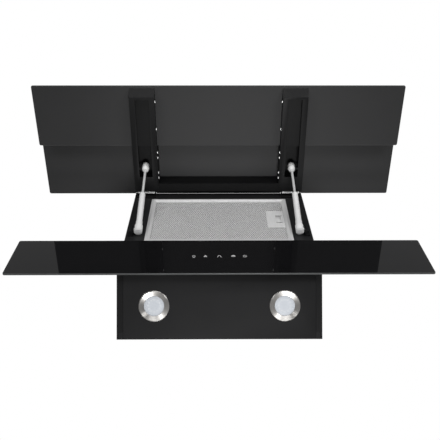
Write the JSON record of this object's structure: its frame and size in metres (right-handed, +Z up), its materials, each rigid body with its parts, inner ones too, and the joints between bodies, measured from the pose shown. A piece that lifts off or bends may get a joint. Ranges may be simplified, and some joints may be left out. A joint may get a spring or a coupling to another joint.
{
  "type": "range hood",
  "caption": "Wall chimney range hood with an inclined front: black glass flap raised on gas struts over the grease filter, lower touch-control glass, lamps underneath, blower and chimney.",
  "frame": {"origin": "midway between the two wall hanging holes, in the wall plane", "axes": "+Z up, +Y into the wall, +X to the right for a person facing the hood"},
  "size_m": [0.895, 0.5741, 0.7627],
  "materials": {
    "black_enamel": "satin black",
    "black_glass": "polished, opaque black",
    "black_plastic": "fine grain",
    "filter_aluminium": "bare, brushed",
    "bright_steel": "brushed",
    "chrome": "polished",
    "strut_grey": "satin light grey",
    "lamp_steel": "turned",
    "lamp_glass": "clear",
    "board_green": "lacquered",
    "zinc_steel": "zinc plated",
    "motor_grey": "matt grey"
  },
  "bodies": {
    "hood": {"left_side_panel": "black_enamel", "right_side_panel": "black_enamel", "back_panel": "zinc_steel", "top_panel": "black_enamel", "front_frame": "black_enamel", "filter_seat": "black_enamel", "lamp_panel": "black_enamel", "lamp_rim_left": "lamp_steel", "lamp_rim_right": "lamp_steel", "lamp_lens_left": "lamp_glass", "lamp_lens_right": "lamp_glass", "lamp_can_left": "black_plastic", "lamp_can_right": "black_plastic", "led_board_left": "board_green", "led_board_right": "board_green", "lower_glass": "black_glass", "lower_glass_carrier": "black_plastic", "touch_housing": "black_plastic", "touch_board": "board_green", "filter_frame": "filter_aluminium", "filter_front_mesh": "filter_aluminium", "filter_rear_mesh": "filter_aluminium", "filter_core": "filter_aluminium", "filter_handle_plate": "bright_steel", "hinge_bracket_left": "bright_steel", "hinge_bracket_right": "bright_steel", "hinge_pins": "bright_steel", "strut_base_stud_left": "black_enamel", "strut_base_stud_right": "black_enamel", "blower_scroll": "zinc_steel", "motor": "motor_grey", "motor_spider": "zinc_steel", "run_capacitor": "black_plastic", "electronics_box": "black_plastic", "outlet_collar": "black_plastic", "damper_pins": "zinc_steel", "cable_gland": "black_plastic", "chimney_lower_cover": "black_enamel"},
    "flap": {"flap_upper_glass": "black_glass", "flap_middle_glass": "black_glass", "flap_arm_left": "black_enamel", "flap_arm_right": "black_enamel", "flap_cross_beam": "black_enamel", "arm_screws": "bright_steel", "hinge_leaf_left": "bright_steel", "hinge_leaf_right": "bright_steel", "strut_top_stud_left": "black_enamel", "strut_top_stud_right": "black_enamel"},
    "strut_left_rod": {"strut_rod_left": "chrome", "strut_rod_end_left": "strut_grey"},
    "strut_left_cylinder": {"strut_cylinder_left": "strut_grey"},
    "strut_right_rod": {"strut_rod_right": "chrome", "strut_rod_end_right": "strut_grey"},
    "strut_right_cylinder": {"strut_cylinder_right": "strut_grey"},
    "impeller": {"impeller": "black_plastic"},
    "damper_front": {"damper_flap_front": "black_plastic"},
    "damper_back": {"damper_flap_back": "black_plastic"},
    "chimney_upper": {"chimney_upper_cover": "black_enamel"},
    "filter_latch": {"filter_latch": "black_plastic"}
  },
  "joints": [
    {"name": "flap_hinge", "type": "hinge", "parent": "hood", "child": "flap", "pos_m": [0, -0.32395, 0.03241], "axis": [1, 0, 0], "range_deg": [0, 90], "stiffness_Nm_per_rad": 3, "springref_deg": -148.97},
    {"name": "strut_left_swing", "type": "hinge", "parent": "flap", "child": "strut_left_rod", "pos_m": [-0.1855, -0.38449, 0.00728], "axis": [1, 0, 0], "range_deg": [-104.6, 0]},
    {"name": "strut_left_slide", "type": "slide", "parent": "strut_left_rod", "child": "strut_left_cylinder", "axis": [0, -0.7279, 0.6857], "range_m": [0, 0.0825]},
    {"name": "strut_right_swing", "type": "hinge", "parent": "flap", "child": "strut_right_rod", "pos_m": [0.1855, -0.38449, 0.00728], "axis": [1, 0, 0], "range_deg": [-104.6, 0]},
    {"name": "strut_right_slide", "type": "slide", "parent": "strut_right_rod", "child": "strut_right_cylinder", "axis": [0, -0.7279, 0.6857], "range_m": [0, 0.0825]},
    {"name": "impeller_spin", "type": "hinge", "parent": "hood", "child": "impeller", "pos_m": [0, -0.12, -0.097], "axis": [1, 0, 0], "continuous": true},
    {"name": "damper_front_swing", "type": "hinge", "parent": "hood", "child": "damper_front", "pos_m": [0, -0.0884, 0.066], "axis": [-1, 0, 0], "range_deg": [0, 75]},
    {"name": "damper_back_swing", "type": "hinge", "parent": "hood", "child": "damper_back", "pos_m": [0, -0.0816, 0.066], "axis": [1, 0, 0], "range_deg": [0, 75]},
    {"name": "chimney_slide", "type": "slide", "parent": "hood", "child": "chimney_upper", "axis": [0, 0, 1], "range_m": [0, 0.33]},
    {"name": "filter_latch_slide", "type": "slide", "parent": "hood", "child": "filter_latch", "axis": [-1, 0, 0], "range_m": [0, 0.006], "stiffness_N_per_m": 300, "springref_m": -0.003}
  ],
  "couplings": [
    {"joint": "strut_left_swing", "follows": "flap_hinge", "ratio": -1.1615},
    {"joint": "strut_left_slide", "follows": "flap_hinge", "m_per_rad": 0.052482},
    {"joint": "strut_right_swing", "follows": "flap_hinge", "ratio": -1.1615},
    {"joint": "strut_right_slide", "follows": "flap_hinge", "m_per_rad": 0.052482}
  ]
}
